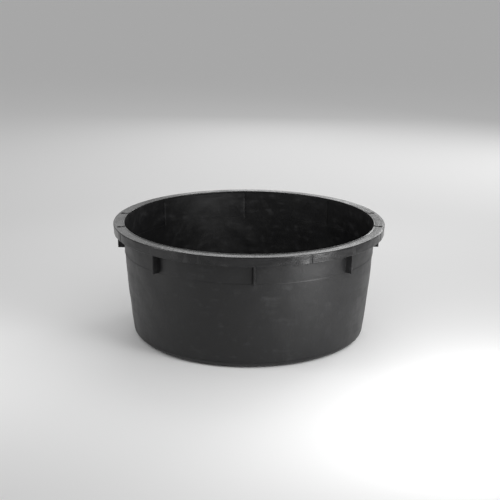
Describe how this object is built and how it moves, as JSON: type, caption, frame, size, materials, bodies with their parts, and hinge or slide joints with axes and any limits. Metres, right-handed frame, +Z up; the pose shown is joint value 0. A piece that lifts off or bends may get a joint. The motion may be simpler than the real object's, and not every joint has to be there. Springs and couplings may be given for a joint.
{
  "type": "mortar mixing tub",
  "caption": "Round black plastic mortar mixing tub, gently tapered and open at the top, with a flat gusseted rim, a hanging skirt to grip and a lashing hole beside each grip.",
  "frame": {"origin": "centre of the ring it stands on, at ground level", "axes": "+Z up along the tub's axis, -Y towards the front, X through the two hand grips"},
  "size_m": [0.6497, 0.6496, 0.2745],
  "materials": {
    "tub_plastic": "black recycled polyethylene, satin from the mould, finely scuffed"
  },
  "bodies": {
    "root": {"floor_disc": "tub_plastic", "foot_ring": "tub_plastic", "heel": "tub_plastic", "lower_wall": "tub_plastic", "upper_wall": "tub_plastic", "inner_lip": "tub_plastic", "rim_flange": "tub_plastic", "rim_skirt": "tub_plastic", "gusset_front": "tub_plastic", "gusset_front_right": "tub_plastic", "gusset_right": "tub_plastic", "gusset_rear_right": "tub_plastic", "gusset_rear": "tub_plastic", "gusset_rear_left": "tub_plastic", "gusset_left": "tub_plastic", "gusset_front_left": "tub_plastic", "skirt_rib_1": "tub_plastic", "skirt_rib_2": "tub_plastic", "skirt_rib_3": "tub_plastic", "skirt_rib_4": "tub_plastic", "skirt_rib_5": "tub_plastic", "skirt_rib_6": "tub_plastic", "skirt_rib_7": "tub_plastic", "skirt_rib_8": "tub_plastic"}
  },
  "joints": []
}
